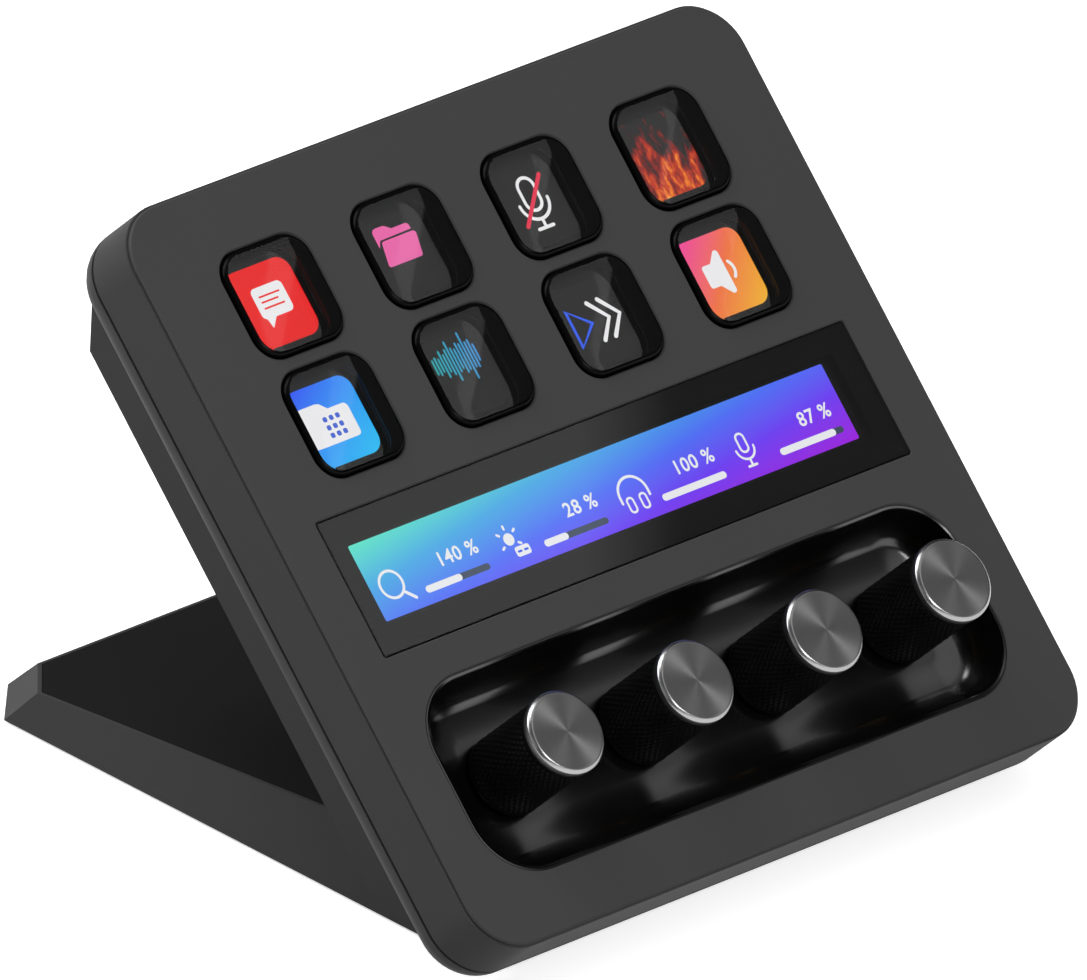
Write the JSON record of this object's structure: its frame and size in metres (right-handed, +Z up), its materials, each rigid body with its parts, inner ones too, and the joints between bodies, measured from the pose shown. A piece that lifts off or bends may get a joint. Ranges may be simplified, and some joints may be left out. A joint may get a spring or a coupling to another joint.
{
  "type": "macro keypad",
  "caption": "Tilted desk keypad with display keys, a touch strip and knurled push dials in a gloss bay, on a stand with a faceted foot.",
  "frame": {"origin": "on the desk, at the centre of the footprint", "axes": "+Z up; +X to the user's right along the rows of keys; the user sits on the -Y side and the face leans back 45 degrees"},
  "size_m": [0.14, 0.1402, 0.1099],
  "materials": {
    "body_plastic": "fine matt moulded texture",
    "bay_plastic": "gloss black",
    "strip_glass": "polished",
    "clear_plastic": "clear, polished",
    "panel": "black glass front over a lit panel",
    "gasket_foam": "closed-cell foam",
    "switch_rubber": "smooth silicone",
    "frame_metal": "pressed sheet",
    "knob_plastic": "fine diamond knurl",
    "cap_metal": "spun face, bright chamfer",
    "steel": "zinc plated",
    "encoder_plastic": "moulded",
    "nut_brass": "turned",
    "circuit_board": "solder mask",
    "chip": "moulded package",
    "coil": "ferrite",
    "ribbon_film": "polyimide film",
    "magnet_plating": "nickel plated",
    "inlay_rubber": "soft matt sheet",
    "pad_rubber": "fine texture"
  },
  "bodies": {
    "base": {"front_plate": "body_plastic", "front_housing": "body_plastic", "rear_shell": "body_plastic", "chassis": "frame_metal", "knob_bay": "bay_plastic", "touch_glass": "strip_glass", "strip_gasket": "gasket_foam", "strip_display": "panel", "key_mat": "switch_rubber", "key_display": "panel", "encoder_1": "encoder_plastic", "encoder_2": "encoder_plastic", "encoder_3": "encoder_plastic", "encoder_4": "encoder_plastic", "encoder_nuts": "nut_brass", "encoder_board": "circuit_board", "main_board": "circuit_board", "processor": "chip", "memory_chips": "chip", "power_coils": "coil", "pin_header": "encoder_plastic", "key_ribbon": "ribbon_film", "strip_ribbon": "ribbon_film", "usb_socket": "steel", "board_screws": "steel", "housing_screws": "steel", "strike_discs": "steel", "stand_magnets": "magnet_plating", "stand_upright": "body_plastic", "stand_foot": "body_plastic", "foot_inlay": "inlay_rubber", "base_plate": "steel", "base_pad": "pad_rubber", "stand_screws": "steel"},
    "key_1": {"key_cap_1": "clear_plastic"},
    "key_2": {"key_cap_2": "clear_plastic"},
    "key_3": {"key_cap_3": "clear_plastic"},
    "key_4": {"key_cap_4": "clear_plastic"},
    "key_5": {"key_cap_5": "clear_plastic"},
    "key_6": {"key_cap_6": "clear_plastic"},
    "key_7": {"key_cap_7": "clear_plastic"},
    "key_8": {"key_cap_8": "clear_plastic"},
    "dial_press_1": {"encoder_plunger_1": "encoder_plastic"},
    "dial_turn_1": {"encoder_shaft_1": "steel", "knob_1": "knob_plastic", "knob_cap_1": "cap_metal"},
    "dial_press_2": {"encoder_plunger_2": "encoder_plastic"},
    "dial_turn_2": {"encoder_shaft_2": "steel", "knob_2": "knob_plastic", "knob_cap_2": "cap_metal"},
    "dial_press_3": {"encoder_plunger_3": "encoder_plastic"},
    "dial_turn_3": {"encoder_shaft_3": "steel", "knob_3": "knob_plastic", "knob_cap_3": "cap_metal"},
    "dial_press_4": {"encoder_plunger_4": "encoder_plastic"},
    "dial_turn_4": {"encoder_shaft_4": "steel", "knob_4": "knob_plastic", "knob_cap_4": "cap_metal"}
  },
  "joints": [
    {"name": "key_1_press", "type": "slide", "parent": "base", "child": "key_1", "axis": [0, 0.7071, -0.7071], "range_m": [0, 0.001], "stiffness_N_per_m": 500, "springref_m": -0.0005},
    {"name": "key_2_press", "type": "slide", "parent": "base", "child": "key_2", "axis": [0, 0.7071, -0.7071], "range_m": [0, 0.001], "stiffness_N_per_m": 500, "springref_m": -0.0005},
    {"name": "key_3_press", "type": "slide", "parent": "base", "child": "key_3", "axis": [0, 0.7071, -0.7071], "range_m": [0, 0.001], "stiffness_N_per_m": 500, "springref_m": -0.0005},
    {"name": "key_4_press", "type": "slide", "parent": "base", "child": "key_4", "axis": [0, 0.7071, -0.7071], "range_m": [0, 0.001], "stiffness_N_per_m": 500, "springref_m": -0.0005},
    {"name": "key_5_press", "type": "slide", "parent": "base", "child": "key_5", "axis": [0, 0.7071, -0.7071], "range_m": [0, 0.001], "stiffness_N_per_m": 500, "springref_m": -0.0005},
    {"name": "key_6_press", "type": "slide", "parent": "base", "child": "key_6", "axis": [0, 0.7071, -0.7071], "range_m": [0, 0.001], "stiffness_N_per_m": 500, "springref_m": -0.0005},
    {"name": "key_7_press", "type": "slide", "parent": "base", "child": "key_7", "axis": [0, 0.7071, -0.7071], "range_m": [0, 0.001], "stiffness_N_per_m": 500, "springref_m": -0.0005},
    {"name": "key_8_press", "type": "slide", "parent": "base", "child": "key_8", "axis": [0, 0.7071, -0.7071], "range_m": [0, 0.001], "stiffness_N_per_m": 500, "springref_m": -0.0005},
    {"name": "dial_1_press", "type": "slide", "parent": "base", "child": "dial_press_1", "axis": [0, 0.7071, -0.7071], "range_m": [0, 0.0006], "stiffness_N_per_m": 3000, "springref_m": -0.0004},
    {"name": "dial_1_turn", "type": "hinge", "parent": "dial_press_1", "child": "dial_turn_1", "pos_m": [-0.04455, -0.05024, 0.03306], "axis": [0, 0.7071, -0.7071], "continuous": true},
    {"name": "dial_2_press", "type": "slide", "parent": "base", "child": "dial_press_2", "axis": [0, 0.7071, -0.7071], "range_m": [0, 0.0006], "stiffness_N_per_m": 3000, "springref_m": -0.0004},
    {"name": "dial_2_turn", "type": "hinge", "parent": "dial_press_2", "child": "dial_turn_2", "pos_m": [-0.01485, -0.05024, 0.03306], "axis": [0, 0.7071, -0.7071], "continuous": true},
    {"name": "dial_3_press", "type": "slide", "parent": "base", "child": "dial_press_3", "axis": [0, 0.7071, -0.7071], "range_m": [0, 0.0006], "stiffness_N_per_m": 3000, "springref_m": -0.0004},
    {"name": "dial_3_turn", "type": "hinge", "parent": "dial_press_3", "child": "dial_turn_3", "pos_m": [0.01485, -0.05024, 0.03306], "axis": [0, 0.7071, -0.7071], "continuous": true},
    {"name": "dial_4_press", "type": "slide", "parent": "base", "child": "dial_press_4", "axis": [0, 0.7071, -0.7071], "range_m": [0, 0.0006], "stiffness_N_per_m": 3000, "springref_m": -0.0004},
    {"name": "dial_4_turn", "type": "hinge", "parent": "dial_press_4", "child": "dial_turn_4", "pos_m": [0.04455, -0.05024, 0.03306], "axis": [0, 0.7071, -0.7071], "continuous": true}
  ]
}
